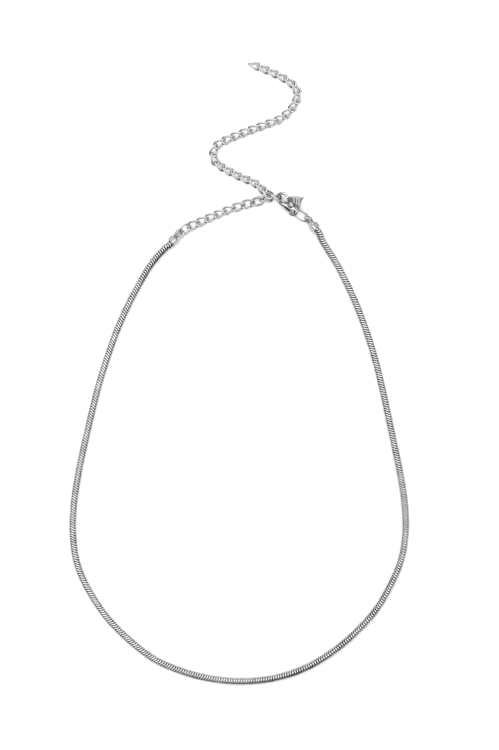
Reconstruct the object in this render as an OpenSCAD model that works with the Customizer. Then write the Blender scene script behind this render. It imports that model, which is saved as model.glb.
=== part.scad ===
// Choker: a square snake chain closed by a lobster clasp on an extender chain, lying flat on a table.
// The frame: Z = 0 is the table, +Y runs from the front of the loop towards the extender's free end.

/* [Snake chain] */
// Width across the flat faces of the snake chain
chain_w = 2.0; // [1.8:0.1:2.2]
// What the bevel takes off each long edge of the snake chain
chain_bevel = 0.35; // [0.2:0.05:0.5]

/* [End caps] */
// Wall of the collar that is soldered over the end of the chain
collar_wall = 0.16; // [0.14:0.02:0.2]
// Length of the collar
collar_len = 1.4; // [1.2:0.1:1.8]
// Diameter of the round tab
tab_d = 3.1; // [2.9:0.1:3.3]
// Thickness of the round tab
tab_t = 0.8; // [0.7:0.1:0.9]
// Diameter of the hole in the tab
tab_hole_d = 1.6; // [1.5:0.1:1.7]

/* [Jump rings] */
// Wire of both jump rings
ring_wire = 0.5; // [0.45:0.05:0.5]
// Outer diameter of the ring between the left cap and the extender
ring_left_d = 4.0; // [3.9:0.05:4.1]
// Outer diameter of the ring between the right cap and the clasp
ring_right_d = 5.2; // [5.1:0.05:5.3]

/* [Extender links] */
// Length of a link
link_len = 4.4; // [4.35:0.05:4.45]
// Width of a link, before it is twisted
link_w = 2.9; // [2.85:0.05:3.0]
// Wire of a link
link_wire = 0.65; // [0.55:0.05:0.65]
// Twist of a link from one end to the other, in degrees
link_twist = 100; // [95:1:105]
// How far every link lies rolled about its own length, in degrees
link_roll = 45; // [40:1:50]
// Links between the left jump ring and the hooked link
low_count = 9; // [9:1:9]
// Links in the free tail
tail_count = 26; // [20:1:26]

/* [Clasp] */
// Length of the clasp
clasp_len = 8.4; // [8.4:0.1:8.4]
// Thickness of the clasp at its body
clasp_t = 2.2; // [2.1:0.1:2.4]
// Outer radius of the hook
hook_r = 2.05; // [2.0:0.05:2.1]
// Wire of the hook
hook_wire = 1.0; // [0.9:0.05:1.0]
// Diameter of the eyelet's hole
eyelet_hole_d = 1.8; // [1.6:0.1:1.8]
// Diameter of the rivet that the lever turns on
pin_d = 0.8; // [0.7:0.05:0.8]
// How far the clasp leans over on its back edge, in degrees
clasp_lean = 28; // [20:1:35]

/* [Hidden] */
$fn = 48;
// Running gap around the rivet, and the gap on each side of the lever in its slot
pin_gap = 0.05;
slot_gap = 0.07;
seat_gap = 0.06;

// Where each cap's hole is, the way its tab points and how far it is rolled about its own length
cap_left_at = [-17.2, 40.3, 1.55];
cap_left_heading = 47;
cap_left_roll = -28;
cap_right_at = [20.1, 44.35, 1.75];
cap_right_heading = 130;
cap_right_roll = -60;

// Route of the snake chain between the two caps, from the left cap round the front to the right cap
chain_route = [
    [-21.6, 36.0], [-25.7, 31.3], [-30.7, 22.6], [-34.8, 13.9], [-38.0, 5.2], [-40.7, -3.5],
    [-42.9, -12.2], [-44.9, -20.9], [-46.7, -29.6], [-47.95, -38.3], [-48.2, -47.0], [-46.85, -55.7],
    [-42.8, -64.4], [-36.4, -73.1], [-26.0, -82.1], [-17.1, -86.3], [-8.4, -88.6], [0.3, -89.4],
    [9.0, -88.7], [17.7, -86.2], [26.4, -81.4], [34.8, -74.3], [41.2, -66.5], [46.5, -55.7],
    [48.2, -47.0], [48.05, -38.3], [46.8, -29.6], [45.0, -20.9], [43.2, -12.2], [41.3, -3.5],
    [39.1, 5.2], [36.3, 13.9], [32.8, 22.6], [28.5, 31.3], [24.4, 37.9]
];
// Share of the chain's length, and how far its section is turned there, from one flat face upwards
chain_turn = [
    [0, 28], [0.005, 28], [0.05, 20], [0.1, 0], [0.36, 0], [0.5, -20],
    [0.6, -45], [0.72, -75], [0.9, -88], [0.97, -76], [0.994, -60], [1, -60]
];
chain_rings = 80;
// Straight length at each end of the chain, inside its cap
chain_straight = 1.3;
// How far from each cap the chain takes to come down to the table
lift_len = 8;

// Route of the extender from the left ring to the hooked link, and of its free tail
low_route = [[-13.2, 42.9], [-8.3, 45.1], [-3.0, 47.3], [2.2, 48.95], [5.3, 49.7], [7.7, 50.3]];
low_pitch = 2.82;
// Number of the link, and its share of the roll: less next to the jump ring and to the hooked link
low_roll = [[1, 0.5], [4, 1], [5, 1], [8, 0]];
tail_route = [
    [6.25, 53.65], [4.2, 55.2], [-0.4, 57.2], [-4.6, 59.5], [-6.6, 61.0], [-7.4, 63.0], [-7.05, 64.9],
    [-5.8, 66.45], [-3.6, 67.6], [1.5, 69.7], [7.2, 71.8], [11.9, 73.7], [14.9, 76.3],
    [16.5, 78.9], [16.8, 81.4], [15.6, 83.5], [13.3, 85.2], [10.4, 86.7], [6.1, 88.55], [2.0, 89.8]
];
// Number of the link in the tail, and how far along the route it lies: closer in the two bends
tail_places = [[0, 0], [5, 13.6], [8, 21.3], [17, 45.8], [20, 53.5], [24, 64.9]];
// The hooked link and its two neighbours: place, heading, pitch and roll
junction = [
    [7.8, 50.5, 1.27, 14, -2, -41],
    [10.35, 51.05, 1.58, -6, 0, 102],
    [8.2, 52.1, 1.53, -45, 14, -38]
];

// Places of the two jump rings: centre, heading of the pull and lean of the ring from upright
ring_left_at = [-15.55, 41.65, 1.62];
ring_left_turn = [42, 40];
ring_right_at = [18.05, 45.55, 2.25];
ring_right_turn = [-32, -34];

// Place of the clasp's middle, and the way its eyelet points
clasp_at = [13.7, 49.2, 2.0];
clasp_heading = -52;
clasp_mid = 3.8;
eyelet_at = [6.95, 0.15];
eyelet_r = 1.4;
pivot_at = [5.0, 0.7];

link_count = low_count + 1 + tail_count;
function link_name(k) = str("extender_link_", k < 10 ? "0" : "", k);

// A smooth curve through a route, as a table of rows [length so far, x, y]
function spline(a, b, c, d, t) =
    0.5 * (2 * b + (c - a) * t + (2 * a - 5 * b + 4 * c - d) * t * t + (3 * b - a - 3 * c + d) * t * t * t);
function curve_points(r, steps = 12) = let (
        n = len(r),
        e = concat([2 * r[0] - r[1]], r, [2 * r[n - 1] - r[n - 2]]))
    concat(
        [for (i = [0:n - 2]) for (j = [0:steps - 1]) spline(e[i], e[i + 1], e[i + 2], e[i + 3], j / steps)],
        [r[n - 1]]
    );
function length_table(p) = [
    for (i = 0, s = 0; i < len(p); s = s + (i + 1 < len(p) ? norm(p[i + 1] - p[i]) : 0), i = i + 1)
        [s, p[i].x, p[i].y]
];
function column(table, c) = [for (row = table) [row[0], row[c]]];
function at_length(table, s) = [lookup(s, column(table, 1)), lookup(s, column(table, 2))];
function heading_at(table, s) = let (d = at_length(table, s + 0.3) - at_length(table, s - 0.3))
    atan2(d.y, d.x);
function total(table) = table[len(table) - 1][0];

// Half the height of the chain's bevelled section when it is turned by an angle
chain_half = chain_w / 2;
function chain_height(turn) = let (a = abs(turn) % 90)
    max(chain_half * cos(a) + (chain_half - chain_bevel) * sin(a),
        (chain_half - chain_bevel) * cos(a) + chain_half * sin(a));
chain_outline = let (h = chain_half, k = chain_half - chain_bevel)
    [[h, -k], [h, k], [k, h], [-k, h], [-h, k], [-h, -k], [-k, -h], [k, -h]];

cap_seat = tab_d / 2 + 1.65;
chain_in_cap = 0.9;
function ahead(at, heading, distance) = [at.x + distance * cos(heading), at.y + distance * sin(heading)];
chain_table = length_table(curve_points(concat(
    [for (d = [chain_in_cap, -0.4, -1.7]) ahead(cap_left_at, cap_left_heading, d - cap_seat)],
    chain_route,
    [for (d = [-1.7, -0.4, chain_in_cap]) ahead(cap_right_at, cap_right_heading, d - cap_seat)]
)));
chain_len = total(chain_table);
low_table = length_table(curve_points(low_route));
tail_table = length_table(curve_points(tail_route));

function settle(s) = let (t = min(max((s - chain_straight) / lift_len, 0), 1)) 0.5 + 0.5 * cos(180 * t);
function chain_z(s) = let (h = chain_height(lookup(s / chain_len, chain_turn)))
    h + (cap_left_at.z - h) * settle(s) + (cap_right_at.z - h) * settle(chain_len - s);
function chain_ring(s) = let (
        c = at_length(chain_table, s),
        h = heading_at(chain_table, min(max(s, 0.3), chain_len - 0.3)),
        a = lookup(s / chain_len, chain_turn))
    [for (q = chain_outline) let (u = q.x * cos(a) - q.y * sin(a), v = q.x * sin(a) + q.y * cos(a))
        [c.x - u * sin(h), c.y + u * cos(h), chain_z(s) + v]];

// A closed tube through rings of points, with flat ends
module tube(rings) {
    n = len(rings[0]);
    m = len(rings);
    polyhedron(
        points = [for (r = rings) each r],
        faces = concat(
            [[for (j = [0:n - 1]) j]],
            [[for (j = [n - 1:-1:0]) (m - 1) * n + j]],
            [for (i = [0:m - 2]) for (j = [0:n - 1]) let (k = (j + 1) % n)
                [i * n + j, (i + 1) * n + j, (i + 1) * n + k]],
            [for (i = [0:m - 2]) for (j = [0:n - 1]) let (k = (j + 1) % n)
                [i * n + j, (i + 1) * n + k, i * n + k]]
        )
    );
}

// A ring at each end, and the rest evenly between the two straight ends
function chain_station(i) =
    i == 0 ? 0
    : i == chain_rings - 1 ? chain_len
    : chain_straight + (i - 1) * (chain_len - 2 * chain_straight) / (chain_rings - 3);

module snake_chain() {
    color("silver")
        tube([for (i = [0:chain_rings - 1]) chain_ring(chain_station(i))]);
}

// A square with bevelled corners: the chain's own section with room to spare on each side
module bevelled(spare, bevel = chain_bevel) {
    h = chain_half + spare;
    k = h - bevel;
    polygon([[h, -k], [h, k], [k, h], [-k, h], [-h, k], [-h, -k], [-k, -h], [k, -h]]);
}

// One end cap about the centre of its hole, its chain on the -X side
module end_cap() {
    outer = chain_half + seat_gap + collar_wall;
    start = -cap_seat - 0.2;
    stop = start + collar_len;
    difference() {
        union() {
            translate([start, 0, 0])
                rotate([90, 0, 90])
                    linear_extrude(collar_len)
                        bevelled(seat_gap + collar_wall, chain_bevel + collar_wall);
            intersection() {
                linear_extrude(3, center = true)
                    polygon([
                        [stop - 0.1, 0.1 - outer], [stop, 0.1 - outer], [-0.9, -tab_d * 0.38],
                        [-0.9, tab_d * 0.38], [stop, outer - 0.1], [stop - 0.1, outer - 0.1]
                    ]);
                rotate([90, 0, 0])
                    linear_extrude(tab_d, center = true)
                        polygon([
                            [stop - 0.1, 0.4 - outer], [stop, 0.4 - outer], [-0.9, -tab_t / 2],
                            [-0.9, tab_t / 2], [stop, outer - 0.4], [stop - 0.1, outer - 0.4]
                        ]);
            }
            cylinder(d = tab_d, h = tab_t, center = true);
        }
        translate([start - 0.1, 0, 0])
            rotate([90, 0, 90])
                linear_extrude(chain_in_cap + 0.3 + seat_gap)
                    bevelled(seat_gap);
        cylinder(d = tab_hole_d, h = tab_t + 1, center = true);
    }
}

module end_cap_left() {
    color("silver")
        translate(cap_left_at)
            rotate([0, 0, cap_left_heading])
                rotate([cap_left_roll, 0, 0])
                    end_cap();
}

module end_cap_right() {
    color("silver")
        translate(cap_right_at)
            rotate([0, 0, cap_right_heading])
                rotate([cap_right_roll, 0, 0])
                    end_cap();
}

// A jump ring that stands along its heading and leans over to one side
module jump_ring(at, turn, outer_d) {
    color("silver")
        translate(at)
            rotate([0, 0, turn[0]])
                rotate([90 - turn[1], 0, 0])
                    rotate_extrude()
                        translate([(outer_d - ring_wire) / 2, 0])
                            circle(d = ring_wire);
}

module jump_ring_left() {
    jump_ring(ring_left_at, ring_left_turn, ring_left_d);
}

module jump_ring_right() {
    jump_ring(ring_right_at, ring_right_turn, ring_right_d);
}

// One twisted link along X: an oblong loop of round wire, turned about its length from end to end
link_sides = 16;
wire_sides = 6;
function link_ring(i) = let (
        r = (link_w - link_wire) / 2,
        half = (link_len - link_w) / 2,
        right = i < link_sides / 2,
        step = 180 / (link_sides / 2 - 1),
        a = right ? -90 + i * step : 90 + (i - link_sides / 2) * step,
        x = (right ? half : -half) + r * cos(a),
        y = r * sin(a),
        turn = link_twist * x / link_len)
    [for (j = [0:wire_sides - 1]) let (
            b = 360 * j / wire_sides,
            out = y + link_wire / 2 * cos(b) * sin(a),
            up = link_wire / 2 * sin(b))
        [
            x + link_wire / 2 * cos(b) * cos(a),
            out * cos(turn) - up * sin(turn),
            out * sin(turn) + up * cos(turn)
        ]];

module link() {
    rings = [for (i = [0:link_sides - 1]) link_ring(i)];
    n = wire_sides;
    m = link_sides;
    polyhedron(
        points = [for (r = rings) each r],
        faces = concat(
            [for (i = [0:m - 1]) for (j = [0:n - 1]) let (next = ((i + 1) % m) * n, k = (j + 1) % n)
                [i * n + j, i * n + k, next + k]],
            [for (i = [0:m - 1]) for (j = [0:n - 1]) let (next = ((i + 1) % m) * n, k = (j + 1) % n)
                [i * n + j, next + k, next + j]]
        )
    );
}

// Place, heading, pitch and roll of link k, counted from the left jump ring to the free end
link_rest = [[0, 0.8], [15, 1.02], [30, 1.15], [45, 1.29]];
function on_route(table, s, share) = let (p = at_length(table, s), roll = link_roll * share)
    [p.x, p.y, lookup(roll, link_rest), heading_at(table, s), 0, roll];
function link_pose(k) = let (t = k - low_count - 3)
    k < low_count ? on_route(low_table, (k - 1) * low_pitch, lookup(k, low_roll))
    : k <= low_count + 2 ? junction[k - low_count]
    : on_route(tail_table, lookup(t, tail_places), 1);

module extender_link(k) {
    p = link_pose(k);
    color("gainsboro")
        translate([p[0], p[1], p[2]])
            rotate([0, 0, p[3]])
                rotate([0, -p[4], 0])
                    rotate([p[5], 0, 0])
                        link();
}

// The clasp about its own middle plane: X from the hook's crest to the eyelet, +Y towards the thumb tab
function arc(c, r, a, b, n) = [for (i = [0:n]) let (t = a + (b - a) * i / n)
    [c.x + r * cos(t), c.y + r * sin(t)]];

module clasp_place() {
    translate(clasp_at)
        rotate([0, 0, clasp_heading])
            rotate([clasp_lean, 0, 0])
                translate([-clasp_mid, 0, 0])
                    children();
}

// Thickness of the clasp from its back to its eyelet, as a prism seen from the edge
module clasp_edge_view() {
    h = clasp_t / 2;
    n = hook_wire / 2;
    rotate([90, 0, 0])
        linear_extrude(20, center = true)
            polygon([
                [hook_r, -n], [2.5, -0.85], [3.3, -h], [5.8, -h], [7.2, -0.8], [clasp_len + 0.1, -0.55],
                [clasp_len + 0.1, 0.55], [7.2, 0.8], [5.8, h], [3.3, h], [2.5, 0.85], [hook_r, n]
            ]);
}

slot_t = 1.0;
hook_c = [hook_r, 0.03];
nose_angle = 79;

module clasp_body() {
    color("silver")
        clasp_place()
            difference() {
                union() {
                    translate([hook_c.x, hook_c.y, 0])
                        rotate([0, 0, nose_angle])
                            rotate_extrude(angle = 275 - nose_angle)
                                translate([hook_r - hook_wire / 2, 0])
                                    circle(d = hook_wire);
                    intersection() {
                        linear_extrude(clasp_t, center = true)
                            polygon(concat(
                                arc(eyelet_at, eyelet_r, -100, 70, 14),
                                [[5.95, 1.55], [5.3, 1.75], [4.3, 1.75], [3.95, 1.45], [3.9, 0.3]],
                                [[3.3, 0.06], [2.7, -0.12], [2.55, -0.5]],
                                [[hook_c.x, hook_c.y + hook_wire - hook_r]],
                                [[hook_c.x, hook_c.y - hook_r], [4.0, -1.85], [5.6, -1.6]]
                            ));
                        clasp_edge_view();
                    }
                }
                translate([3.0, -0.5, -slot_t / 2])
                    cube([2.95, 6, slot_t]);
                translate([pivot_at.x, pivot_at.y, 0])
                    cylinder(d = pin_d + 0.04, h = clasp_t + 1, center = true);
                translate([eyelet_at.x, eyelet_at.y, 0])
                    cylinder(d = eyelet_hole_d, h = clasp_t + 1, center = true);
            }
}

module clasp_lever() {
    color("gray")
        clasp_place()
            difference() {
                union() {
                    translate([pivot_at.x, pivot_at.y, 0])
                        cylinder(r = 0.85, h = slot_t - 2 * slot_gap, center = true);
                    linear_extrude(slot_t - 2 * slot_gap, center = true)
                        polygon([[4.9, -0.14], [5.6, 1.3], [5.6, 2.3], [3.3, 2.3], [3.0, 1.2], [4.3, 0.2]]);
                    linear_extrude(1.5, center = true)
                        polygon([
                            [2.7, 1.3], [3.75, 1.05], [3.75, 1.9], [4.4, 2.1], [6.4, 2.0], [7.8, 1.75],
                            [7.95, 2.0], [6.6, 3.6], [6.0, 4.6], [5.85, 5.4], [5.5, 5.6], [5.0, 4.8],
                            [4.1, 3.45], [3.3, 2.7], [2.75, 2.25]
                        ]);
                }
                translate([pivot_at.x, pivot_at.y, 0])
                    cylinder(d = pin_d + 2 * pin_gap, h = clasp_t, center = true);
            }
}

module clasp_pin() {
    color("silver")
        clasp_place()
            translate([pivot_at.x, pivot_at.y, 0])
                cylinder(d = pin_d, h = clasp_t, center = true);
}

snake_chain();
end_cap_left();
end_cap_right();
jump_ring_left();
jump_ring_right();
clasp_body();
clasp_lever();
clasp_pin();
for (k = [1:link_count]) {
    extender_link(k);
}
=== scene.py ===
import math

import bmesh
import bpy
from mathutils import Matrix, Vector


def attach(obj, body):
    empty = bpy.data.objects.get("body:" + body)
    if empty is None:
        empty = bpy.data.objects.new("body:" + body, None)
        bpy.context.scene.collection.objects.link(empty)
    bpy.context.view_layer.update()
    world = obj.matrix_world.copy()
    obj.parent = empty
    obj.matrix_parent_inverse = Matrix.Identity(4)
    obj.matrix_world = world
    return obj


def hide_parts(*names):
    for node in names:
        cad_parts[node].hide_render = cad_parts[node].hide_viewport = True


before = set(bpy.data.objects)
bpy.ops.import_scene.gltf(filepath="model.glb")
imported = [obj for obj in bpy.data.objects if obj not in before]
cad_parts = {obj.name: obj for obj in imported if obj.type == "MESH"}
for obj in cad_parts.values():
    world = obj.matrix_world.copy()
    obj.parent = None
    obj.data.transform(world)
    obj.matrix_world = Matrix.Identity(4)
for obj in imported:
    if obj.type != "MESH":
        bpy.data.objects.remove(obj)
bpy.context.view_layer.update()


# Snake chain: a square chain, 2 mm across and 33 cm long, of several hundred thin plates of
# silver-coloured metal, each folded round the next, so that the outside shows fine slanting ribs.
# It lies flat on its side, and its two ends run into the end caps.
mm = 0.001
# Spacing of the plates, half the chain's width, and how far its corners are rounded
CHAIN_PITCH = 0.72 * mm
CHAIN_HALF = 1.0 * mm
CHAIN_ROUND = 0.6 * mm
# The section's flat sides, and how many plates a rib slants by across each of them
SIDES = 4
RIBS_ACROSS_FACE = 0.75
# Each plate is cut across at these shares of its length, and is smaller at its ends and shoulders
PLATE_CUTS = (0.22, 0.5, 0.78)
CHAIN_GROOVE = 0.70
CHAIN_SHOULDER = 0.94
# How strongly shade is painted onto a plate's ends, and how fast it fades towards its middle
GROOVE_TONE = 1.7
GROOVE_FADE = 3.4
# Trimmed off at the start and the end, inside the caps
TRIM_START = 0.02 * mm
TRIM_END = 0.08 * mm
# Places and routes on the table, here and in later sections, are in plain millimetres
CAP_LEFT = dict(at=(-17.2, 40.3, 1.55), heading=47, roll=-28)
CAP_RIGHT = dict(at=(20.1, 44.35, 1.75), heading=130, roll=-60)
# From the middle of a cap's hole back to the chain's seat, and the chain's first points from there
CAP_SEAT = 3.2
CHAIN_LEAD = (0.9, -0.4, -1.7)
CHAIN_ROUTE = [
    (-21.6, 36.0), (-25.7, 31.3), (-30.7, 22.6), (-34.8, 13.9), (-38.0, 5.2), (-40.7, -3.5),
    (-42.9, -12.2), (-44.9, -20.9), (-46.7, -29.6), (-47.95, -38.3), (-48.2, -47.0),
    (-46.85, -55.7), (-42.8, -64.4), (-36.4, -73.1), (-26.0, -82.1), (-17.1, -86.3),
    (-8.4, -88.6), (0.3, -89.4), (9.0, -88.7), (17.7, -86.2), (26.4, -81.4), (34.8, -74.3),
    (41.2, -66.5), (46.5, -55.7),
    (48.2, -47.0), (48.05, -38.3), (46.8, -29.6), (45.0, -20.9), (43.2, -12.2), (41.3, -3.5),
    (39.1, 5.2), (36.3, 13.9), (32.8, 22.6), (28.5, 31.3), (24.4, 37.9),
]
# Share of the length, and how far the chain's section is turned there
CHAIN_TURN = [
    (0, 28), (0.005, 28), (0.05, 20), (0.1, 0), (0.36, 0), (0.5, -20), (0.6, -45), (0.72, -75),
    (0.9, -88), (0.97, -76), (0.994, -60), (1, -60),
]
# The bevel the chain rests on when turned, its straight end, and its way down to the table
REST_BEVEL = 0.35
CHAIN_STRAIGHT = 1.3
LIFT_LEN = 8.0
# A face whose normal has more than this along an axis faces that way
FACING = 0.9


def smooth_route(points, steps=12):
    """Points of a smooth curve through a route, in millimetres."""
    ends = [tuple(2 * a - b for a, b in zip(points[0], points[1]))]
    ends += list(points) + [tuple(2 * a - b for a, b in zip(points[-1], points[-2]))]
    curve = []
    for a, b, c, d in zip(ends, ends[1:], ends[2:], ends[3:]):
        for i in range(steps):
            t = i / steps
            curve.append(tuple(
                0.5 * (2 * q + (r - p) * t + (2 * p - 5 * q + 4 * r - s) * t * t
                       + (3 * q - p - 3 * r + s) * t ** 3)
                for p, q, r, s in zip(a, b, c, d)
            ))
    return curve + [tuple(points[-1])]


def between(table, s):
    """The value at s in a table of (place, value...) rows, straight between rows."""
    if s <= table[0][0]:
        return table[0][1:]
    for row, after in zip(table, table[1:]):
        if s <= after[0]:
            t = (s - row[0]) / (after[0] - row[0])
            return tuple(a + (b - a) * t for a, b in zip(row[1:], after[1:]))
    return table[-1][1:]


def with_length(points):
    """Rows of (length so far, x, y) along a route."""
    rows = [(0.0, *points[0])]
    for a, b in zip(points, points[1:]):
        rows.append((rows[-1][0] + math.dist(a, b), *b))
    return rows


def cap_axis(cap, distance):
    """A point on a cap's own axis, that far ahead of the centre of its hole."""
    turn = math.radians(cap["heading"])
    return (cap["at"][0] + distance * math.cos(turn), cap["at"][1] + distance * math.sin(turn))


def chain_height(turn):
    """How high the chain's axis lies above the table when the section is turned by an angle."""
    a = math.radians(abs(turn) % 90)
    half, flat = CHAIN_HALF / mm, CHAIN_HALF / mm - REST_BEVEL
    return max(half * math.cos(a) + flat * math.sin(a), flat * math.cos(a) + half * math.sin(a))


def settle(s):
    """1 at the cap, 0 where the chain has come down to the table."""
    return 0.5 + 0.5 * math.cos(math.pi * min(max((s - CHAIN_STRAIGHT) / LIFT_LEN, 0), 1))


def pick(kind, test):
    """In edit mode, selects the faces, edges or vertices that pass the test, and nothing else."""
    mesh = bmesh.from_edit_mesh(bpy.context.object.data)
    bpy.ops.mesh.select_all(action="DESELECT")
    bpy.ops.mesh.select_mode(type={"faces": "FACE", "edges": "EDGE", "verts": "VERT"}[kind])
    for item in getattr(mesh, kind):
        item.select_set(bool(test(item)))
    mesh.select_flush_mode()
    bmesh.update_edit_mesh(bpy.context.object.data)


def reach(edge):
    """How far an edge runs along x."""
    return abs(edge.verts[0].co.x - edge.verts[1].co.x)


def start_piece(name):
    """Names the primitive just added, puts its place in its mesh and opens it for editing."""
    piece = bpy.context.object
    piece.name = piece.data.name = name
    bpy.ops.object.transform_apply(location=True, rotation=True, scale=True)
    bpy.ops.object.mode_set(mode="EDIT")
    return piece


def modify(piece, kind, **settings):
    """Adds a modifier with these settings and applies it."""
    bpy.ops.object.select_all(action="DESELECT")
    piece.select_set(True)
    bpy.context.view_layer.objects.active = piece
    modifier = piece.modifiers.new(kind.lower(), kind)
    for key, value in settings.items():
        setattr(modifier, key, value)
    bpy.ops.object.modifier_apply(modifier=modifier.name)


# The route, out of one cap, round the loop on the table and up into the other cap
chain_points = [cap_axis(CAP_LEFT, d - CAP_SEAT) for d in CHAIN_LEAD]
chain_points += CHAIN_ROUTE
chain_points += [cap_axis(CAP_RIGHT, d - CAP_SEAT) for d in reversed(CHAIN_LEAD)]
chain_rows = with_length(smooth_route(chain_points))
chain_len = chain_rows[-1][0]
route_points = []
for s, x, y in chain_rows:
    turn = between(CHAIN_TURN, s / chain_len)[0]
    low = chain_height(turn)
    z = (low + (CAP_LEFT["at"][2] - low) * settle(s)
         + (CAP_RIGHT["at"][2] - low) * settle(chain_len - s))
    route_points.append((Vector((x, y, z)) * mm, math.radians(turn)))
route_len = sum((b[0] - a[0]).length for a, b in zip(route_points, route_points[1:]))

# One plate: a short square sleeve with rounded corners and a rib round its middle
bpy.ops.object.select_all(action="DESELECT")
bpy.ops.mesh.primitive_cube_add(size=1, location=(CHAIN_PITCH / 2, 0, 0),
                                scale=(CHAIN_PITCH, 2 * CHAIN_HALF, 2 * CHAIN_HALF))
snake_chain = start_piece("snake_chain_plates")
pick("faces", lambda f: abs(f.normal.x) > FACING)
bpy.ops.mesh.delete(type="FACE")
pick("edges", lambda e: reach(e) > CHAIN_PITCH / 2)
bpy.ops.mesh.bevel(offset=CHAIN_ROUND, segments=2, profile=0.5)
for share in PLATE_CUTS:
    bpy.ops.mesh.select_all(action="SELECT")
    bpy.ops.mesh.bisect(plane_co=(share * CHAIN_PITCH, 0, 0), plane_no=(1, 0, 0))


def from_end(v):
    """How far a vertex lies from the nearer end of the plate."""
    return min(v.co.x, CHAIN_PITCH - v.co.x)


for share, size in ((0.0, CHAIN_GROOVE), (PLATE_CUTS[0], CHAIN_SHOULDER)):
    pick("verts", lambda v: abs(from_end(v) - share * CHAIN_PITCH) < 0.02 * CHAIN_PITCH)
    bpy.ops.transform.resize(value=(1, size, size), center_override=(0, 0, 0))
bpy.ops.object.mode_set(mode="OBJECT")
# The material reads from this how deep between two plates a point lies, and paints shade there
groove = snake_chain.data.attributes.new("groove", "FLOAT", "POINT")
for i, v in enumerate(snake_chain.data.vertices):
    groove.data[i].value = min(1.0, GROOVE_TONE - GROOVE_FADE * from_end(v) / CHAIN_PITCH)

# The ribs slant: the sleeve is opened along one edge, and each flat face carries the rib forwards
seam = CHAIN_HALF - CHAIN_ROUND
SEAM_NEAR = 0.02


def on_seam(v):
    """True for a vertex on the edge where the sleeve is opened."""
    return v.co.z > 0 and abs(v.co.y / v.co.z + seam / CHAIN_HALF) < SEAM_NEAR


def way_round(v):
    """How far round the section a vertex lies, from the seam, in flat faces crossed."""
    side = v.link_faces[0].calc_center_median()
    angle = math.atan2(v.co.y, v.co.z) % (2 * math.pi)
    near = math.atan2(side.y, side.z) % (2 * math.pi)
    seam_angle = -math.atan2(seam, CHAIN_HALF) % (2 * math.pi)
    if abs(angle - seam_angle) < SEAM_NEAR:
        return 0 if (near - seam_angle) % (2 * math.pi) < math.pi else SIDES
    turn = (angle - seam_angle) % (2 * math.pi)
    quarter, rest = divmod(turn, math.pi / 2)
    flat = 2 * math.atan2(seam, CHAIN_HALF)
    return quarter + min(rest / flat, 1.0)


bpy.ops.object.mode_set(mode="EDIT")
pick("edges", lambda e: all(on_seam(v) for v in e.verts))
bpy.ops.mesh.edge_split(type="EDGE")
crossed = {v.index: way_round(v) for v in bmesh.from_edit_mesh(snake_chain.data).verts}
for step in sorted(set(round(faces, 2) for faces in crossed.values()) - {0}):
    pick("verts", lambda v: abs(crossed[v.index] - step) < 0.005)
    bpy.ops.transform.translate(value=(step * RIBS_ACROSS_FACE * CHAIN_PITCH, 0, 0))
bpy.ops.object.mode_set(mode="OBJECT")

# All the plates in a row, cut square at both ends, then laid along the route
spare = int(SIDES * RIBS_ACROSS_FACE) + 1
modify(snake_chain, "ARRAY", count=int(route_len / CHAIN_PITCH) + 2 + spare,
       use_relative_offset=False, use_constant_offset=True,
       constant_offset_displace=(CHAIN_PITCH, 0, 0))
bpy.ops.object.mode_set(mode="EDIT")
bpy.ops.mesh.select_all(action="SELECT")
bpy.ops.transform.translate(value=(-spare * CHAIN_PITCH, 0, 0))
bpy.ops.mesh.remove_doubles(threshold=0.002 * mm)
bpy.ops.mesh.bisect(plane_co=(TRIM_START, 0, 0), plane_no=(1, 0, 0),
                    use_fill=True, clear_inner=True)
bpy.ops.mesh.select_all(action="SELECT")
bpy.ops.mesh.bisect(plane_co=(route_len - TRIM_END, 0, 0), plane_no=(1, 0, 0),
                    use_fill=True, clear_outer=True)
bpy.ops.mesh.select_all(action="SELECT")
bpy.ops.mesh.normals_make_consistent(inside=False)
bpy.ops.object.mode_set(mode="OBJECT")

lay = bpy.data.curves.new("chain_lay", "CURVE")
lay.dimensions = "3D"
lay.twist_mode = "Z_UP"
line = lay.splines.new("POLY")
line.points.add(len(route_points) - 1)
for point, (place, turn) in zip(line.points, route_points):
    point.co = (*place, 1)
    point.tilt = -turn
lay_object = bpy.data.objects.new("chain_lay", lay)
bpy.context.collection.objects.link(lay_object)
modify(snake_chain, "CURVE", object=lay_object, deform_axis="POS_X")
bpy.data.objects.remove(lay_object)
bpy.data.curves.remove(lay)
bpy.ops.object.shade_smooth_by_angle(angle=math.radians(60))

# How unevenly the shade painted into the hollows falls, the metal's uneven polish, and its hairline
# scratches, which run one way
CLOUD_SCALE = 420
SPOT_SCALE = 1600
HAIR_STRETCH = (900, 14000, 9000)
HAIR_TURN = (0.3, 0.5, 0.7)
HAIR_DEPTH = 0.004 * mm
# How much duller the metal is where shade is painted into its hollows
HOLLOW_DULLS = 0.15


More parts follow.
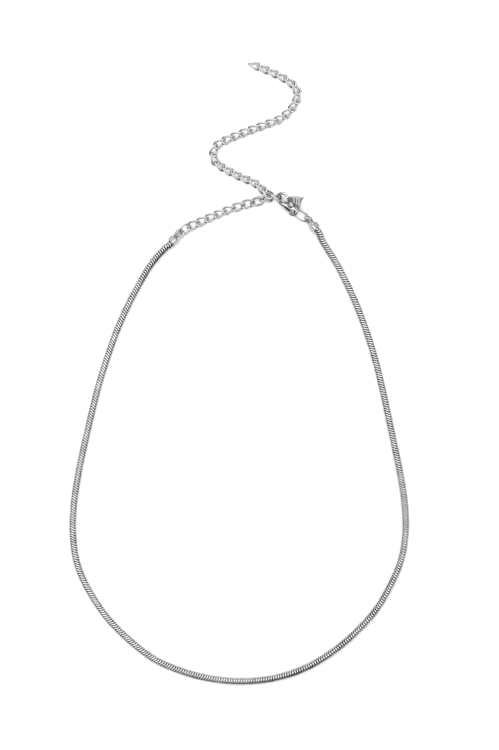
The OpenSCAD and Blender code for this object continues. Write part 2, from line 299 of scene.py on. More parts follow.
def bright_metal(name, light, dark, smooth, rough, groove_from, scratched=0.25):
    """Polished silver-coloured metal, with shade painted darker into its hollows, which are also
    duller.

    Light is its own colour and dark the shade painted into its hollows, smooth and rough the range
    of its roughness, groove_from says whether the hollows are the ribs' or the form's own, and
    scratched how strong its scratches are.
    """
    made = bpy.data.materials.new(name)
    made.use_nodes = True
    nodes, links = made.node_tree.nodes, made.node_tree.links
    shader = nodes["Principled BSDF"]
    shader.inputs["Metallic"].default_value = 1.0
    place = nodes.new("ShaderNodeTexCoord")

    def noise(scale, detail, stretch=None):
        texture = nodes.new("ShaderNodeTexNoise")
        texture.inputs["Scale"].default_value = scale
        texture.inputs["Detail"].default_value = detail
        source = place.outputs["Object"]
        if stretch:
            mapping = nodes.new("ShaderNodeMapping")
            mapping.inputs["Scale"].default_value = stretch
            mapping.inputs["Rotation"].default_value = HAIR_TURN
            links.new(source, mapping.inputs["Vector"])
            source = mapping.outputs["Vector"]
        links.new(source, texture.inputs["Vector"])
        return texture.outputs["Fac"]

    def spread(value, low, high, to_low, to_high):
        ranged = nodes.new("ShaderNodeMapRange")
        links.new(value, ranged.inputs["Value"])
        limits = {"From Min": low, "From Max": high, "To Min": to_low, "To Max": to_high}
        for socket, number in limits.items():
            ranged.inputs[socket].default_value = number
        return ranged.outputs["Result"]

    # Where shade is painted: between the plates, from the groove attribute, or where the form
    # curves inwards
    if groove_from == "ribs":
        hollow = nodes.new("ShaderNodeAttribute")
        hollow.attribute_name = "groove"
        hollow = hollow.outputs["Fac"]
    else:
        pointed = nodes.new("ShaderNodeNewGeometry").outputs["Pointiness"]
        hollow = spread(pointed, 0.5, 0.42, 0.0, 1.0)
    cloud = noise(CLOUD_SCALE, 4)
    # Painted shade: how far each point is mixed towards the second colour, stronger in some clouds
    # than others
    hollow_shade = nodes.new("ShaderNodeMath")
    hollow_shade.operation = "MULTIPLY"
    links.new(hollow, hollow_shade.inputs[0])
    links.new(spread(cloud, 0.3, 0.7, 0.5, 1.0), hollow_shade.inputs[1])
    tone = nodes.new("ShaderNodeMix")
    tone.data_type = "RGBA"
    tone.inputs["A"].default_value = (*light, 1)
    tone.inputs["B"].default_value = (*dark, 1)
    links.new(hollow_shade.outputs["Value"], tone.inputs["Factor"])
    links.new(tone.outputs["Result"], shader.inputs["Base Color"])

    polish = spread(noise(SPOT_SCALE, 5), 0.3, 0.7, smooth, rough)
    dulled = nodes.new("ShaderNodeMath")
    dulled.operation = "MULTIPLY_ADD"
    dulled.inputs[1].default_value = HOLLOW_DULLS
    links.new(hollow_shade.outputs["Value"], dulled.inputs[0])
    links.new(polish, dulled.inputs[2])
    links.new(dulled.outputs["Value"], shader.inputs["Roughness"])

    hair = noise(1.0, 3, stretch=HAIR_STRETCH)
    bump = nodes.new("ShaderNodeBump")
    bump.inputs["Strength"].default_value = scratched
    bump.inputs["Distance"].default_value = HAIR_DEPTH
    links.new(hair, bump.inputs["Height"])
    links.new(bump.outputs["Normal"], shader.inputs["Normal"])
    return made


# The chain's second, very deep colour is shade painted into the grooves between the plates
chain_silver = bright_metal("chain_silver", light=(0.68, 0.68, 0.675), dark=(0.07, 0.07, 0.07),
                            smooth=0.14, rough=0.26, groove_from="ribs", scratched=0.08)
snake_chain.data.materials.append(chain_silver)
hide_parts("snake_chain")
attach(snake_chain, "necklace")


# End caps: a small silver-coloured cap is soldered over each end of the chain. It is a square
# collar that the chain runs into, and narrows to a flat round tab with a hole for the jump ring.
COLLAR_HALF = 1.22 * mm
COLLAR_ROUND = 0.51 * mm
COLLAR_START = -3.4 * mm
COLLAR_LEN = 1.4 * mm
# The collar's front is drawn in, then narrows in steps: how far forwards, width and height left
COLLAR_INSET = 0.1 * mm
COLLAR_STEPS = ((0.35 * mm, 1.0, 0.62), (0.75 * mm, 1.02, 0.56))
BORE_HALF = 1.06 * mm
BORE_LEN = 1.26 * mm
BORE_ROUND = 0.35 * mm
BORE_OUT = 0.5 * mm
TAB_R = 1.55 * mm
TAB_T = 0.8 * mm
TAB_SOFT = 0.16 * mm
TAB_HOLE_R = 0.8 * mm
# The drill widens from this level on, to this many times its width at its ends, and so sinks
# the hole's rim
DRILL_LEN = 2 * mm
SINK_LEVEL = 0.28 * mm
SINK_WIDEN = 1.9
NEARLY_LEVEL = 0.01 * mm


def on_rim(edge):
    """True for an edge round an end of a disc or rod that stands along z."""
    return abs(edge.verts[0].co.z - edge.verts[1].co.z) < NEARLY_LEVEL


def join(piece, *others):
    """Makes one mesh of several overlapping ones."""
    bpy.ops.object.select_all(action="DESELECT")
    for one in (piece, *others):
        one.select_set(True)
    bpy.context.view_layer.objects.active = piece
    bpy.ops.object.join()


def fuse(piece, grain, rounds):
    """Runs overlapping shapes together into one skin, as solder or casting does, and softens it."""
    modify(piece, "REMESH", mode="VOXEL", voxel_size=grain, adaptivity=0.0)
    modify(piece, "SMOOTH", factor=0.5, iterations=rounds)


def cut_away(piece, tool):
    """Cuts a tool's shape out of a piece and takes the tool away."""
    modify(piece, "BOOLEAN", operation="DIFFERENCE", object=tool, solver="EXACT")
    bpy.data.objects.remove(tool)


def settle_piece(piece, matrix):
    """Puts a piece modelled about its own centre where it belongs, with the place in its mesh."""
    bpy.ops.object.select_all(action="DESELECT")
    piece.select_set(True)
    bpy.context.view_layer.objects.active = piece
    piece.matrix_world = matrix
    bpy.ops.object.transform_apply(location=True, rotation=True, scale=True)


bpy.ops.object.select_all(action="DESELECT")
collar_stop = COLLAR_START + COLLAR_LEN
bpy.ops.mesh.primitive_cube_add(size=1, location=(COLLAR_START + COLLAR_LEN / 2, 0, 0),
                                scale=(COLLAR_LEN, 2 * COLLAR_HALF, 2 * COLLAR_HALF))
cap_model = start_piece("cap_model")
pick("edges", lambda e: reach(e) > COLLAR_LEN / 2)
bpy.ops.mesh.bevel(offset=COLLAR_ROUND, segments=4, profile=0.5)
# The front of the collar narrows to the neck of the tab
pick("faces", lambda f: f.normal.x > FACING)
bpy.ops.mesh.inset(thickness=COLLAR_INSET)
for ahead, wide, tall in COLLAR_STEPS:
    bpy.ops.mesh.extrude_region_move(TRANSFORM_OT_translate={"value": (ahead, 0, 0)})
    bpy.ops.transform.resize(value=(1, wide, tall), center_override=(collar_stop, 0, 0))
bpy.ops.object.mode_set(mode="OBJECT")

# The tab: a disc with a soft rim
bpy.ops.mesh.primitive_cylinder_add(vertices=64, radius=TAB_R, depth=TAB_T)
tab = start_piece("cap_tab")
pick("edges", on_rim)
bpy.ops.mesh.bevel(offset=TAB_SOFT, segments=3, profile=0.5)
bpy.ops.object.mode_set(mode="OBJECT")
join(cap_model, tab)
fuse(cap_model, grain=0.05 * mm, rounds=4)

# The hole, with its rim broken by a countersink on each face
bpy.ops.mesh.primitive_cylinder_add(vertices=64, radius=TAB_HOLE_R, depth=DRILL_LEN)
drill = start_piece("tab_drill")
for level in (SINK_LEVEL, -SINK_LEVEL):
    bpy.ops.mesh.select_all(action="SELECT")
    bpy.ops.mesh.bisect(plane_co=(0, 0, level), plane_no=(0, 0, 1))
pick("faces", lambda f: abs(f.normal.z) > FACING)
bpy.ops.transform.resize(value=(SINK_WIDEN, SINK_WIDEN, 1), center_override=(0, 0, 0))
bpy.ops.object.mode_set(mode="OBJECT")
cut_away(cap_model, drill)

# The square bore that takes the chain
bpy.ops.mesh.primitive_cube_add(
    size=1, location=(COLLAR_START - BORE_OUT + (BORE_LEN + BORE_OUT) / 2, 0, 0),
    scale=(BORE_LEN + BORE_OUT, 2 * BORE_HALF, 2 * BORE_HALF))
bore = start_piece("collar_bore")
pick("edges", lambda e: reach(e) > BORE_LEN / 2)
bpy.ops.mesh.bevel(offset=BORE_ROUND, segments=3, profile=0.5)
bpy.ops.object.mode_set(mode="OBJECT")
cut_away(cap_model, bore)
bpy.ops.object.shade_smooth_by_angle(angle=math.radians(35))

cap_silver = bright_metal("cap_silver", light=(0.40, 0.40, 0.395), dark=(0.08, 0.08, 0.08),
                          smooth=0.12, rough=0.24, groove_from="form")
cap_model.data.materials.append(cap_silver)
for side, cap in (("left", CAP_LEFT), ("right", CAP_RIGHT)):
    piece = cap_model.copy()
    piece.data = cap_model.data.copy()
    piece.name = piece.data.name = f"end_cap_{side}_soldered"
    bpy.context.collection.objects.link(piece)
    settle_piece(piece, Matrix.Translation(Vector(cap["at"]) * mm)
                 @ Matrix.Rotation(math.radians(cap["heading"]), 4, "Z")
                 @ Matrix.Rotation(math.radians(cap["roll"]), 4, "X"))
    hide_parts(f"end_cap_{side}")
    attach(piece, "necklace")
bpy.data.objects.remove(cap_model)


# Jump rings: two rings of round wire, each bent to a circle with its ends meeting in a fine slit.
# The left one joins its cap to the extender's first link, the right one joins its cap to the
# clasp's eyelet.
RING_WIRE_R = 0.25 * mm
RING_ARC = 358.6
RING_END_SOFT = 0.03 * mm
# Radius, middle, direction, lean from upright, and how far round the ring its slit is
RINGS = {
    "left": dict(radius=1.75, at=(-15.55, 41.65, 1.62), heading=42, lean=40, slit=150),
    "right": dict(radius=2.35, at=(18.05, 45.55, 2.25), heading=-32, lean=-34, slit=70),
}
ring_silver = bright_metal("ring_silver", light=(0.36, 0.36, 0.355), dark=(0.10, 0.10, 0.10),
                           smooth=0.10, rough=0.20, groove_from="form")
for side, ring in RINGS.items():
    bpy.ops.object.select_all(action="DESELECT")
    bpy.ops.mesh.primitive_circle_add(
        vertices=14, radius=RING_WIRE_R, fill_type="NGON",
        location=(ring["radius"] * mm, 0, 0), rotation=(math.pi / 2, 0, 0))
    piece = start_piece(f"jump_ring_{side}_wire")
    bpy.ops.mesh.select_all(action="SELECT")
    bpy.ops.mesh.spin(steps=64, angle=math.radians(RING_ARC), center=(0, 0, 0), axis=(0, 0, 1),
                      use_auto_merge=False)
    bpy.ops.mesh.select_all(action="SELECT")
    bpy.ops.mesh.normals_make_consistent(inside=False)
    bpy.ops.object.mode_set(mode="OBJECT")
    modify(piece, "BEVEL", width=RING_END_SOFT, segments=2, limit_method="ANGLE",
           angle_limit=math.radians(60))
    bpy.ops.object.shade_smooth_by_angle(angle=math.radians(50))
    piece.data.materials.append(ring_silver)
    settle_piece(piece, Matrix.Translation(Vector(ring["at"]) * mm)
                 @ Matrix.Rotation(math.radians(ring["heading"]), 4, "Z")
                 @ Matrix.Rotation(math.radians(90 - ring["lean"]), 4, "X")
                 @ Matrix.Rotation(math.radians(ring["slit"]), 4, "Z"))
    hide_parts(f"jump_ring_{side}")
    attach(piece, "necklace")


# Extender links: 36 oval links of bright round wire, each twisted about its length so that the
# chain lies flat. They hang in one another: nine lead to the one that the clasp hooks into, and 26
# lie free.
LINK_LEN = 4.4 * mm
LINK_W = 2.9 * mm
LINK_WIRE = 0.65 * mm
LINK_TWIST = 100
# Each half of a straight side is divided at these shares, so that it can be twisted
LINK_CUTS = (0.34, 0.68, 1.0)
NEARLY_MIDDLE = 0.01 * mm
LOW_ROUTE = [(-13.2, 42.9), (-8.3, 45.1), (-3.0, 47.3), (2.2, 48.95), (5.3, 49.7), (7.7, 50.3)]
LOW_PITCH = 2.82
LOW_COUNT = 9
# Number of the link, and its share of the roll: less next to the jump ring and to the hooked link
LOW_ROLL = [(1, 0.5), (4, 1), (5, 1), (8, 0)]
TAIL_ROUTE = [
    (6.25, 53.65), (4.2, 55.2), (-0.4, 57.2), (-4.6, 59.5), (-6.6, 61.0), (-7.4, 63.0),
    (-7.05, 64.9), (-5.8, 66.45), (-3.6, 67.6), (1.5, 69.7), (7.2, 71.8), (11.9, 73.7),
    (14.9, 76.3), (16.5, 78.9), (16.8, 81.4), (15.6, 83.5), (13.3, 85.2), (10.4, 86.7),
    (6.1, 88.55), (2.0, 89.8),
]
# Number of the link in the tail, and how far along its route it lies
TAIL_PLACES = [(0, 0), (5, 13.6), (8, 21.3), (17, 45.8), (20, 53.5), (24, 64.9)]
TAIL_COUNT = 26
LINK_ROLL = 45
# Roll, and how high the link's middle then lies
LINK_REST = [(0, 0.8), (15, 1.02), (30, 1.15), (45, 1.29)]
# How far ahead and behind a link its route is looked at for its heading
HEADING_SPAN = 0.3
# The hooked link and its two neighbours: place, heading, pitch and roll
JUNCTION = [
    (7.8, 50.5, 1.27, 14, -2, -41),
    (10.35, 51.05, 1.58, -6, 0, 102),
    (8.2, 52.1, 1.53, -45, 14, -38),
]

# A ring of wire, drawn out to an oval, divided along its straight sides and twisted
bpy.ops.object.select_all(action="DESELECT")
bpy.ops.mesh.primitive_torus_add(major_segments=40, minor_segments=12,
                                 major_radius=(LINK_W - LINK_WIRE) / 2,
                                 minor_radius=LINK_WIRE / 2)
link_model = start_piece("link_model")
half = (LINK_LEN - LINK_W) / 2
for way in (1, -1):
    pick("verts", lambda v: v.co.x * way > NEARLY_MIDDLE)
    bpy.ops.transform.translate(value=(way * half, 0, 0))
for way in (1, -1):
    for share in LINK_CUTS:
        bpy.ops.mesh.select_all(action="SELECT")
        bpy.ops.mesh.bisect(plane_co=(way * share * half, 0, 0), plane_no=(1, 0, 0))
bpy.ops.object.mode_set(mode="OBJECT")
modify(link_model, "SIMPLE_DEFORM", deform_method="TWIST", deform_axis="X",
       angle=math.radians(LINK_TWIST))
bpy.ops.object.shade_smooth()

link_silver = bright_metal("link_silver", light=(0.44, 0.44, 0.435), dark=(0.14, 0.14, 0.135),
                           smooth=0.08, rough=0.18, groove_from="form")
link_model.data.materials.append(link_silver)


def on_route(rows, s, roll):
    """Place, heading, pitch and roll of a link that lies on a route."""
    x, y = between(rows, s)
    ahead, behind = between(rows, s + HEADING_SPAN), between(rows, s - HEADING_SPAN)
    heading = math.degrees(math.atan2(ahead[1] - behind[1], ahead[0] - behind[0]))
    return (x, y, between(LINK_REST, roll)[0], heading, 0, roll)


low_rows = with_length(smooth_route(LOW_ROUTE))
tail_rows = with_length(smooth_route(TAIL_ROUTE))
for k in range(1, LOW_COUNT + TAIL_COUNT + 2):
    if k < LOW_COUNT:
        pose = on_route(low_rows, (k - 1) * LOW_PITCH, LINK_ROLL * between(LOW_ROLL, k)[0])
    elif k <= LOW_COUNT + 2:
        pose = JUNCTION[k - LOW_COUNT]
    else:
        pose = on_route(tail_rows, between(TAIL_PLACES, k - LOW_COUNT - 3)[0], LINK_ROLL)
    x, y, z, heading, pitch, roll = pose
    link = link_model.copy()
    link.data = link_model.data.copy()
    link.name = link.data.name = f"link_{k:02d}_wire"
    bpy.context.collection.objects.link(link)
    settle_piece(link, Matrix.Translation(Vector((x, y, z)) * mm)
                 @ Matrix.Rotation(math.radians(heading), 4, "Z")
                 @ Matrix.Rotation(math.radians(-pitch), 4, "Y")
                 @ Matrix.Rotation(math.radians(roll), 4, "X"))
    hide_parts(f"extender_link_{k:02d}")
    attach(link, "necklace")
bpy.data.objects.remove(link_model)


# Clasp body: a lobster clasp, cast in one piece and polished. A round hook curves into a thick
# back, two cheeks leave a slot between them for the lever, and an eyelet takes the jump ring. The
# clasp leans on its back. Its sizes are in plain millimetres, about its own middle plane.
# The hook: radius outside, radius of its wire, middle, and where round it nose and back lie
HOOK_R = 2.05
HOOK_WIRE_R = 0.5
HOOK_AT = (2.05, 0.03)
NOSE_ANGLE = 79
SPINE_ANGLE = 275
# Sections of the back and body: x, middle y, half height, half thickness
BODY_SECTIONS = [
    (2.5, -1.38, 0.64, 0.68), (3.05, -1.10, 0.90, 0.92), (3.65, -0.80, 1.06, 1.08),
    (4.25, -0.42, 1.36, 1.14), (4.9, -0.12, 1.64, 1.14), (5.6, 0.0, 1.64, 1.10),
    (6.3, 0.07, 1.50, 0.98), (7.0, 0.12, 1.30, 0.82), (7.6, 0.14, 0.95, 0.68),
    (8.0, 0.15, 0.55, 0.55),
]
# Share of its slant that a section keeps
SECTION_SLANT = 0.3
SHOULDER_AT = (5.05, 0.55)
SHOULDER_SIZE = (1.6, 2.3, 2.16)
SHOULDER_ROUND = 0.34
EYELET_AT = (6.95, 0.15)
EYELET_R = 1.4
EYELET_T = 1.3
EYELET_ROUND = 0.3
EYELET_HOLE_R = 0.9
SLOT_AT = (4.475, 2.5)
SLOT_SIZE = (2.95, 6)
SLOT_HALF = 0.5
PIVOT_AT = (5.0, 0.7)
PIN_R = 0.4
# How much wider than the rivet its hole in the cheeks is
PIN_SEAT = 0.02
# Length of a tool that cuts right through the clasp
THROUGH = 4
# Where the clasp lies, the way it points, how far it leans, and the middle that it turns about
clasp_place = (
    Matrix.Translation(Vector((13.7, 49.2, 2.0)) * mm)
    @ Matrix.Rotation(math.radians(-52), 4, "Z")
    @ Matrix.Rotation(math.radians(28), 4, "X")
    @ Matrix.Translation(Vector((-3.8, 0, 0)) * mm)
)


def in_mm(*sizes):
    """Plain millimetres as Blender's metres."""
    return tuple(size * mm for size in sizes)


def selected_ring(piece):
    """In edit mode, the places of the selected vertices, and the middle of them."""
    mesh = bmesh.from_edit_mesh(piece.data)
    ring = [v.co.copy() for v in mesh.verts if v.select]
    return ring, sum(ring, Vector()) / len(ring)


# The hook: a wire section at the nose, spun round to the back, then drawn out into the body
bpy.ops.object.select_all(action="DESELECT")
nose = math.radians(NOSE_ANGLE)
wire_line = HOOK_R - HOOK_WIRE_R
bpy.ops.mesh.primitive_circle_add(
    vertices=24, radius=HOOK_WIRE_R * mm, fill_type="NGON",
    location=in_mm(HOOK_AT[0] + wire_line * math.cos(nose),
                   HOOK_AT[1] + wire_line * math.sin(nose), 0),
    rotation=(math.pi / 2, 0, nose))
clasp_body = start_piece("clasp_body_cast")
bpy.ops.mesh.select_all(action="SELECT")
bpy.ops.mesh.spin(steps=40, angle=math.radians(NOSE_ANGLE - SPINE_ANGLE), axis=(0, 0, 1),
                  center=in_mm(*HOOK_AT, 0))
for x, y, tall, thick in BODY_SECTIONS:
    ring, mid = selected_ring(clasp_body)
    now_tall = max(abs(c.y - mid.y) for c in ring)
    now_thick = max(abs(c.z - mid.z) for c in ring)
    onwards = (x * mm - mid.x, y * mm - mid.y, 0)
    bpy.ops.mesh.extrude_region_move(TRANSFORM_OT_translate={"value": onwards})
    bpy.ops.transform.resize(
        value=(SECTION_SLANT, tall * mm / now_tall, thick * mm / now_thick),
        center_override=in_mm(x, y, 0))
bpy.ops.mesh.select_all(action="SELECT")
bpy.ops.mesh.normals_make_consistent(inside=False)
bpy.ops.object.mode_set(mode="OBJECT")

# The shoulder over the pivot, squarer than the rest
bpy.ops.mesh.primitive_cube_add(size=1, location=in_mm(*SHOULDER_AT, 0),
                                scale=in_mm(*SHOULDER_SIZE))
shoulder = start_piece("clasp_shoulder")
bpy.ops.mesh.select_all(action="SELECT")
bpy.ops.mesh.bevel(offset=SHOULDER_ROUND * mm, segments=4, profile=0.5)
bpy.ops.object.mode_set(mode="OBJECT")

# The eyelet: a thick ring at the end
bpy.ops.mesh.primitive_cylinder_add(vertices=72, radius=EYELET_R * mm, depth=EYELET_T * mm,
                                    location=in_mm(*EYELET_AT, 0))
eyelet = start_piece("clasp_eyelet")
pick("edges", on_rim)
bpy.ops.mesh.bevel(offset=EYELET_ROUND * mm, segments=4, profile=0.5)
bpy.ops.object.mode_set(mode="OBJECT")
join(clasp_body, shoulder, eyelet)
fuse(clasp_body, grain=0.06 * mm, rounds=6)

# Cut out: the slot for the lever, the eyelet's hole and the hole for the rivet
bpy.ops.mesh.primitive_cube_add(size=1, location=in_mm(*SLOT_AT, 0),
                                scale=in_mm(*SLOT_SIZE, 2 * SLOT_HALF))
slot_tool = start_piece("slot_tool")
bpy.ops.object.mode_set(mode="OBJECT")
cut_away(clasp_body, slot_tool)
fuse(clasp_body, grain=0.05 * mm, rounds=4)
for at, r in ((EYELET_AT, EYELET_HOLE_R), (PIVOT_AT, PIN_R + PIN_SEAT)):
    bpy.ops.mesh.primitive_cylinder_add(vertices=64, radius=r * mm, depth=THROUGH * mm,
                                        location=in_mm(*at, 0))
    hole = start_piece("hole_tool")
    bpy.ops.object.mode_set(mode="OBJECT")
    cut_away(clasp_body, hole)
bpy.ops.object.shade_smooth_by_angle(angle=math.radians(40))

clasp_silver = bright_metal("clasp_silver", light=(0.44, 0.44, 0.435), dark=(0.12, 0.12, 0.12),
                            smooth=0.10, rough=0.20, groove_from="form")
clasp_body.data.materials.append(clasp_silver)
settle_piece(clasp_body, clasp_place)
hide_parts("clasp_body")
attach(clasp_body, "necklace")


# Clasp lever: the sprung lever of the clasp, cast in the same metal. A flat root between the cheeks
# turns on the rivet, an arm closes the mouth of the hook, and a thumb tab has flutes and grip ribs.
LEVER_HALF = 0.43
TAB_HALF = 0.75
ROOT_R = 0.85
ROOT_SOFT = 0.06
ROOT_AT = (4.45, 1.55)
ROOT_SIZE = (2.3, 1.5)
ARM_AT = (5.2, 2.12)
ARM_SIZE = (4.9, 0.2)
# Sections of the thumb tab: middle x, y, width, thickness
THUMB_SECTIONS = [
    (5.35, 2.35, 5.0, 1.5), (5.3, 2.8, 3.95, 1.5), (5.35, 3.5, 2.6, 1.5), (5.45, 4.3, 1.5, 1.46),
    (5.52, 5.0, 0.85, 1.42), (5.64, 5.5, 0.5, 1.4),
]
BEAK_AT = (3.25, 1.75)
BEAK_SIZE = (1.0, 1.1)
BEAK_ROUND = 0.15
# Flutes on each face of the tab: middle x, y, and length
THUMB_FLUTES = ((4.45, 2.75, 1.7), (5.15, 3.2, 2.4), (5.85, 3.5, 2.2))
FLUTE_ANGLE = 52
FLUTE_R = 0.30
FLUTE_SUNK = 0.17
FLUTE_SOFT = 0.12
# An edge is sharp where its faces turn by more than this, in radians
SHARP = 1.2
# Grip ribs: the place of the first, and how far the row of them runs from there
RIB_COUNT = 5
RIBS_FROM = (3.52, 2.97)
RIBS_RUN = (1.22, 1.4)
RIB_R = 0.13
RIB_LEN = 1.3
RIB_SOFT = 0.05
# How much wider than the rivet the lever's hole is, so that the lever turns
PIN_PLAY = 0.05

# The foot of the root, a disc round the rivet
bpy.ops.object.select_all(action="DESELECT")
bpy.ops.mesh.primitive_cylinder_add(vertices=48, radius=ROOT_R * mm, depth=2 * LEVER_HALF * mm,
                                    location=in_mm(*PIVOT_AT, 0))
clasp_lever = start_piece("clasp_lever_cast")
pick("edges", on_rim)
bpy.ops.mesh.bevel(offset=ROOT_SOFT * mm, segments=2)
bpy.ops.object.mode_set(mode="OBJECT")

# The root: a block between the cheeks, from the pivot up to the arm
bpy.ops.mesh.primitive_cube_add(size=1, location=in_mm(*ROOT_AT, 0),
                                scale=in_mm(*ROOT_SIZE, 2 * LEVER_HALF))
root = start_piece("lever_root")
bpy.ops.object.mode_set(mode="OBJECT")

# The arm and the thumb tab above it: drawn up from the arm's top, section by section
bpy.ops.mesh.primitive_cube_add(size=1, location=in_mm(*ARM_AT, 0),
                                scale=in_mm(*ARM_SIZE, 2 * TAB_HALF))
thumb = start_piece("lever_thumb")
for x, y, wide, thick in THUMB_SECTIONS:
    pick("faces", lambda f: f.normal.y > FACING)
    ring, mid = selected_ring(thumb)
    now_wide = max(c.x for c in ring) - min(c.x for c in ring)
    now_thick = max(c.z for c in ring) - min(c.z for c in ring)
    onwards = (x * mm - mid.x, y * mm - mid.y, 0)
    bpy.ops.mesh.extrude_region_move(TRANSFORM_OT_translate={"value": onwards})
    bpy.ops.transform.resize(value=(wide * mm / now_wide, 1, thick * mm / now_thick),
                             center_override=in_mm(x, y, 0))
bpy.ops.object.mode_set(mode="OBJECT")

# The beak of the arm, which meets the nose of the hook
bpy.ops.mesh.primitive_cube_add(size=1, location=in_mm(*BEAK_AT, 0),
                                scale=in_mm(*BEAK_SIZE, 2 * TAB_HALF))
beak = start_piece("lever_beak")
bpy.ops.mesh.select_all(action="SELECT")
bpy.ops.mesh.bevel(offset=BEAK_ROUND * mm, segments=2)
bpy.ops.object.mode_set(mode="OBJECT")
join(clasp_lever, root, thumb, beak)

# Soft flutes down both flat faces of the thumb tab, where the thumb slides off
flutes = []
for side in (1, -1):
    for x, y, long in THUMB_FLUTES:
        bpy.ops.mesh.primitive_cylinder_add(
            vertices=24, radius=FLUTE_R * mm, depth=long * mm,
            location=in_mm(x, y, side * (TAB_HALF - FLUTE_SUNK)),
            rotation=(math.pi / 2, 0, math.radians(FLUTE_ANGLE)))
        flute = start_piece("thumb_flute")
        pick("edges", lambda e: len(e.link_faces) == 2 and e.calc_face_angle() > SHARP)
        bpy.ops.mesh.bevel(offset=FLUTE_SOFT * mm, segments=3, profile=0.5)
        bpy.ops.object.mode_set(mode="OBJECT")
        flutes.append(flute)
join(clasp_lever, *flutes)
fuse(clasp_lever, grain=0.045 * mm, rounds=5)

# Grip ribs across the slope of the thumb tab, on the side of the hook
ribs = []
for i in range(RIB_COUNT):
    t = i / (RIB_COUNT - 1)
    x, y = (start + run * t for start, run in zip(RIBS_FROM, RIBS_RUN))
    bpy.ops.mesh.primitive_cylinder_add(vertices=16, radius=RIB_R * mm, depth=RIB_LEN * mm,
                                        location=in_mm(x, y, 0))
    rib = start_piece("grip_rib")
    pick("edges", on_rim)
    bpy.ops.mesh.bevel(offset=RIB_SOFT * mm, segments=2)
    bpy.ops.object.mode_set(mode="OBJECT")
    ribs.append(rib)
join(clasp_lever, *ribs)
fuse(clasp_lever, grain=0.04 * mm, rounds=1)

# The hole that turns on the rivet
bpy.ops.object.select_all(action="DESELECT")
bpy.ops.mesh.primitive_cylinder_add(vertices=48, radius=(PIN_R + PIN_PLAY) * mm,
                                    depth=THROUGH * mm, location=in_mm(*PIVOT_AT, 0))
hole = start_piece("hole_tool")
bpy.ops.object.mode_set(mode="OBJECT")
cut_away(clasp_lever, hole)
bpy.ops.object.shade_smooth_by_angle(angle=math.radians(50))

# The lever's colour is darker than the clasp body's, though the metal is the same: painted shade on
# the thumb tab
lever_silver = bright_metal("lever_silver", light=(0.38, 0.375, 0.38), dark=(0.14, 0.14, 0.14),
                            smooth=0.12, rough=0.24, groove_from="form")
clasp_lever.data.materials.append(lever_silver)
settle_piece(clasp_lever, clasp_place)
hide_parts("clasp_lever")
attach(clasp_lever, "lever")


# Clasp rivet: the pin of silver-coloured metal that the lever turns on. It goes through both
# cheeks, and its ends are peened to low domes and polished flush with them.
CLASP_HALF = 1.1
# Steps of the dome at each end: how far in from the rim, and how far up
RIVET_DOME = ((0.1, 0.03), (0.14, 0.015))
bpy.ops.object.select_all(action="DESELECT")
bpy.ops.mesh.primitive_cylinder_add(vertices=40, radius=PIN_R * mm, depth=2 * CLASP_HALF * mm,
                                    location=in_mm(*PIVOT_AT, 0))
rivet = start_piece("clasp_rivet")
for way in (1, -1):
    pick("faces", lambda f: f.normal.z * way > FACING)
    for inwards, up in RIVET_DOME:
        bpy.ops.mesh.inset(thickness=inwards * mm)
        bpy.ops.transform.translate(value=(0, 0, way * up * mm))
bpy.ops.object.mode_set(mode="OBJECT")
bpy.ops.object.shade_smooth_by_angle(angle=math.radians(40))
rivet_silver = bright_metal("rivet_silver", light=(0.44, 0.44, 0.435), dark=(0.12, 0.12, 0.12),
                            smooth=0.14, rough=0.24, groove_from="form")
rivet.data.materials.append(rivet_silver)
settle_piece(rivet, clasp_place)
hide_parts("clasp_pin")
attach(rivet, "necklace")


# Table, light and camera: a plain white table under a soft white light tent that is darker near
# the table. The camera looks straight down through a long lens, with the top of the picture
# towards the extender's free end.
TABLE_SIZE = 3.0
TABLE_DROP = 0.03 * mm
# Parts of the tent: its middle, how near to it the light starts and is full, and its strength
TENT_TOP = dict(facing=(0, 0.14, 1), low=0.38, high=0.87, strength=2.2)
TENT_BACK = dict(facing=(0, 1, 0.15), low=-0.9, high=0.9, strength=0.45)
TENT_WALL = dict(facing=(0, 0, 1), low=-1.1, high=-1.0, strength=0.03)
CAMERA_OVER = (3.0 * mm, -0.6 * mm)
CAMERA_UP = 1.3
SENSOR_TALL = 24
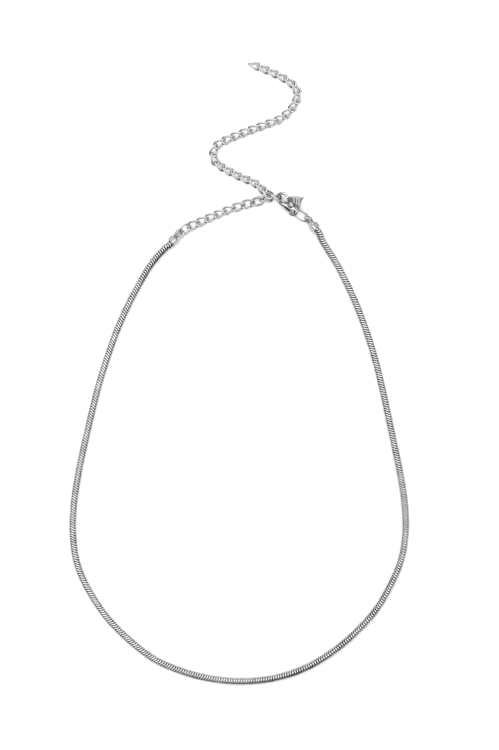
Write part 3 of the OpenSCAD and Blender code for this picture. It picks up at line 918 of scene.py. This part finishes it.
# The frame's height at the middle of the chain's own height
FRAME_TALL = 217.5 * mm
FRAME_LEVEL = 1.0 * mm
bpy.ops.object.select_all(action="DESELECT")
bpy.ops.mesh.primitive_plane_add(size=TABLE_SIZE, location=(0, 0, -TABLE_DROP))
table = bpy.context.object
table.name = "table"
white = bpy.data.materials.new("table_white")
white.use_nodes = True
paint = white.node_tree.nodes["Principled BSDF"]
paint.inputs["Base Color"].default_value = (0.95, 0.95, 0.95, 1)
paint.inputs["Roughness"].default_value = 0.9
paint.inputs["Specular IOR Level"].default_value = 0.1
table.data.materials.append(white)

world = bpy.data.worlds.new("light_tent")
bpy.context.scene.world = world
world.use_nodes = True
nodes, links = world.node_tree.nodes, world.node_tree.links
sky = nodes["Background"]
where = nodes.new("ShaderNodeTexCoord")


def lit_part(facing, low, high, strength):
    """Light from the part of the tent round a direction, fading out away from it."""
    toward = nodes.new("ShaderNodeVectorMath")
    toward.operation = "DOT_PRODUCT"
    toward.inputs[1].default_value = Vector(facing).normalized()
    links.new(where.outputs["Generated"], toward.inputs[0])
    fade = nodes.new("ShaderNodeMapRange")
    fade.interpolation_type = "SMOOTHSTEP"
    fade.inputs["From Min"].default_value = low
    fade.inputs["From Max"].default_value = high
    fade.inputs["To Min"].default_value = 0.0
    fade.inputs["To Max"].default_value = strength
    links.new(toward.outputs["Value"], fade.inputs["Value"])
    return fade.outputs["Result"]


light = lit_part(**TENT_TOP)
for part in (lit_part(**TENT_BACK), lit_part(**TENT_WALL)):
    add = nodes.new("ShaderNodeMath")
    add.operation = "ADD"
    links.new(light, add.inputs[0])
    links.new(part, add.inputs[1])
    light = add.outputs["Value"]
links.new(light, sky.inputs["Strength"])
sky.inputs["Color"].default_value = (1.0, 1.0, 1.0, 1)

bpy.context.scene.view_settings.view_transform = "Standard"
bpy.context.scene.view_settings.look = "None"

lens = bpy.data.cameras.new("camera")
camera = bpy.data.objects.new("camera", lens)
bpy.context.collection.objects.link(camera)
lens.sensor_fit = "VERTICAL"
lens.sensor_height = SENSOR_TALL
lens.lens = SENSOR_TALL * (CAMERA_UP - FRAME_LEVEL) / FRAME_TALL
lens.clip_start = 0.05
lens.clip_end = 20
camera.location = (*CAMERA_OVER, CAMERA_UP)
bpy.context.scene.camera = camera
